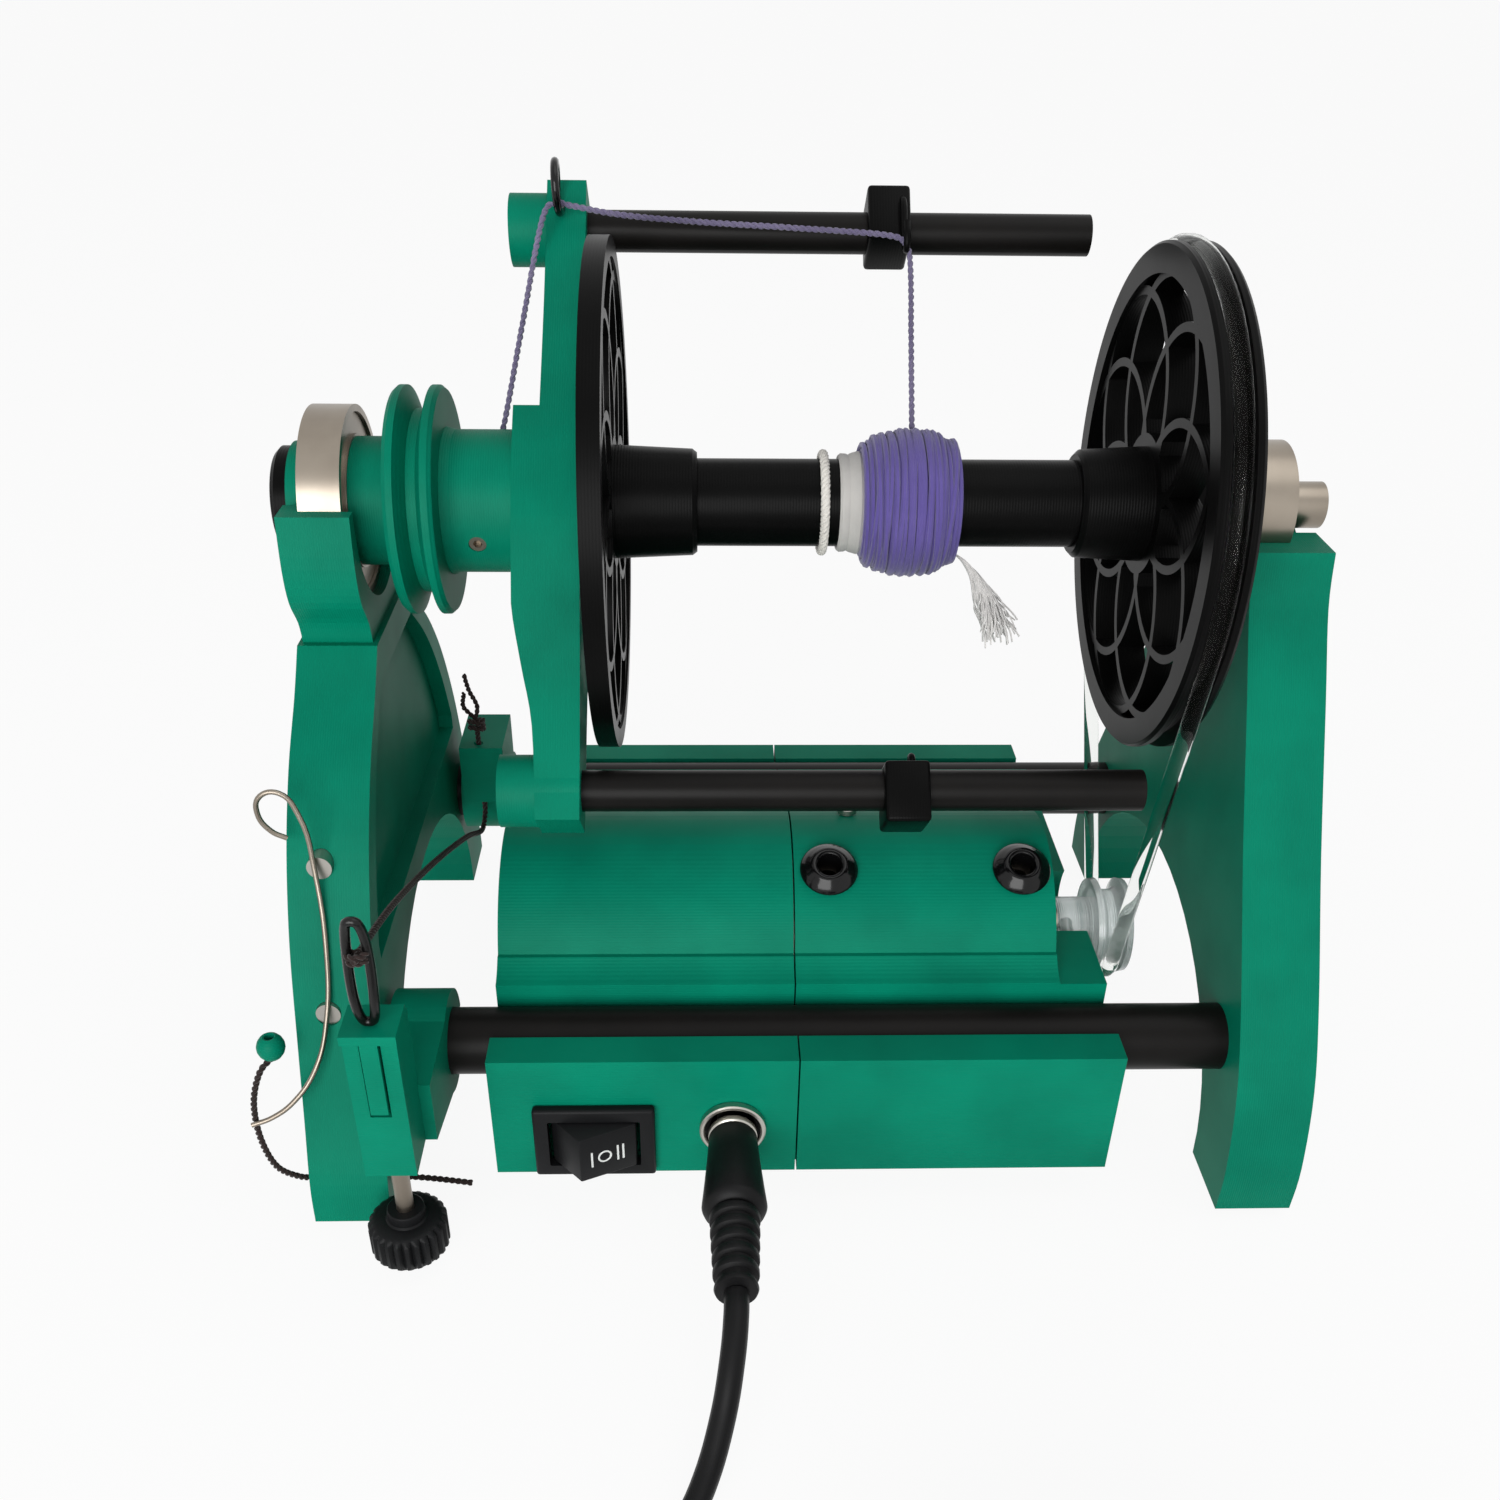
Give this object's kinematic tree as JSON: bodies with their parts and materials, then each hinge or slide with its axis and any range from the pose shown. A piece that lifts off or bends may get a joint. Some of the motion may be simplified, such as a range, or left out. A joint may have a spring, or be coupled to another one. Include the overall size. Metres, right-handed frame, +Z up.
{
  "type": "electric yarn spinner",
  "caption": "Small motor-driven spinning machine with a braked flyer and a belt-driven bobbin between two arched uprights, on a low case with a rocker switch.",
  "frame": {"origin": "on the table, at the middle of the machine's own bounding box, the power cord left out", "axes": "+X along the spindle from the orifice to the drive end, -Y the front with the switch, +Z up"},
  "size_m": [0.1866, 0.2901, 0.1625],
  "materials": {
    "green_print": "printed green plastic with fine layer lines",
    "black_print": "printed black plastic, slightly glossy layers",
    "black_tube": "matte black tube",
    "black_gloss": "moulded glossy black",
    "rubber": "soft matte rubber",
    "bright_steel": "ground and turned steel",
    "zinc": "plated bright metal",
    "clear_plastic": "clear turned plastic",
    "clear_belt": "clear elastic round belt",
    "yarn": "lilac wool yarn",
    "leader": "white cotton string and cloth",
    "cord_black": "satin black cable jacket",
    "thread_brown": "dark brown waxed thread",
    "board_green": "circuit board"
  },
  "bodies": {
    "frame": {"upright_left": "green_print", "cradle_block": "green_print", "upright_right": "green_print", "tie_rod_front": "black_tube", "tie_rod_rear": "black_tube", "case_left": "green_print", "case_right": "green_print", "case_cover": "green_print", "cover_screws": "bright_steel", "switch_bezel": "black_gloss", "dc_socket": "zinc", "dc_plug": "black_gloss", "power_cord": "cord_black", "cord_coil": "cord_black", "power_adapter": "black_gloss", "top_grommets": "rubber", "case_screw": "zinc", "gear_motor": "bright_steel", "motor_screws": "bright_steel", "control_board": "board_green", "drive_belt": "clear_belt", "bearing_left_outer": "bright_steel", "bearing_right_outer": "bright_steel", "bracket_front": "green_print", "bracket_rear": "green_print", "brake_cord": "thread_brown", "magnets": "zinc", "threading_hook": "zinc", "tether_cord": "thread_brown", "tether_bead": "green_print", "rubber_feet": "rubber"},
    "flyer": {"bearing_left_inner": "bright_steel", "bearing_right_inner": "bright_steel", "orifice_ring": "black_print", "flyer_hub": "green_print", "brake_pulley": "green_print", "flyer_arm": "green_print", "rod_upper": "black_tube", "rod_lower": "black_tube", "threading_eyelet": "black_gloss", "axle": "bright_steel", "hub_screws": "bright_steel", "yarn_strand": "yarn"},
    "bobbin": {"bobbin_core": "black_print", "bobbin_flange": "black_print", "bobbin_whorl": "black_print", "yarn_package": "yarn", "leader_band": "leader"},
    "motor_rotor": {"motor_pulley": "clear_plastic"},
    "rocker": {"switch_rocker": "black_gloss"},
    "upper_slider": {"guide_upper": "black_print"},
    "lower_slider": {"guide_lower": "black_print"},
    "tension_drive": {"tension_screw": "bright_steel", "tension_knob": "black_gloss"},
    "tension_nut": {"tension_slider": "green_print", "tension_loop": "rubber"}
  },
  "joints": [
    {"name": "flyer_spin", "type": "hinge", "parent": "frame", "child": "flyer", "pos_m": [-0.015, 0.00817, 0.112], "axis": [1, 0, 0], "continuous": true},
    {"name": "bobbin_spin", "type": "hinge", "parent": "frame", "child": "bobbin", "pos_m": [-0.015, 0.00817, 0.112], "axis": [1, 0, 0], "continuous": true},
    {"name": "motor_spin", "type": "hinge", "parent": "frame", "child": "motor_rotor", "pos_m": [0.055, -0.00583, 0.031], "axis": [1, 0, 0], "continuous": true},
    {"name": "rocker_tilt", "type": "hinge", "parent": "frame", "child": "rocker", "pos_m": [-0.035, -0.04863, 0.0167], "axis": [0, 0, 1], "range_deg": [-9, 9]},
    {"name": "upper_guide_slide", "type": "slide", "parent": "flyer", "child": "upper_slider", "axis": [1, 0, 0], "range_m": [-0.0448, 0.0322]},
    {"name": "lower_guide_slide", "type": "slide", "parent": "flyer", "child": "lower_slider", "axis": [1, 0, 0], "range_m": [-0.046, 0.036]},
    {"name": "tension_turn", "type": "hinge", "parent": "frame", "child": "tension_drive", "pos_m": [-0.0668, -0.06263, 0.02], "axis": [0, 0, 1], "range_deg": [0, 4400]},
    {"name": "tension_travel", "type": "slide", "parent": "frame", "child": "tension_nut", "axis": [0, 0, 1], "range_m": [0, 0.0061]}
  ],
  "couplings": [
    {"joint": "motor_spin", "follows": "bobbin_spin", "ratio": 4.678},
    {"joint": "tension_turn", "follows": "tension_travel", "rad_per_m": 12566}
  ]
}
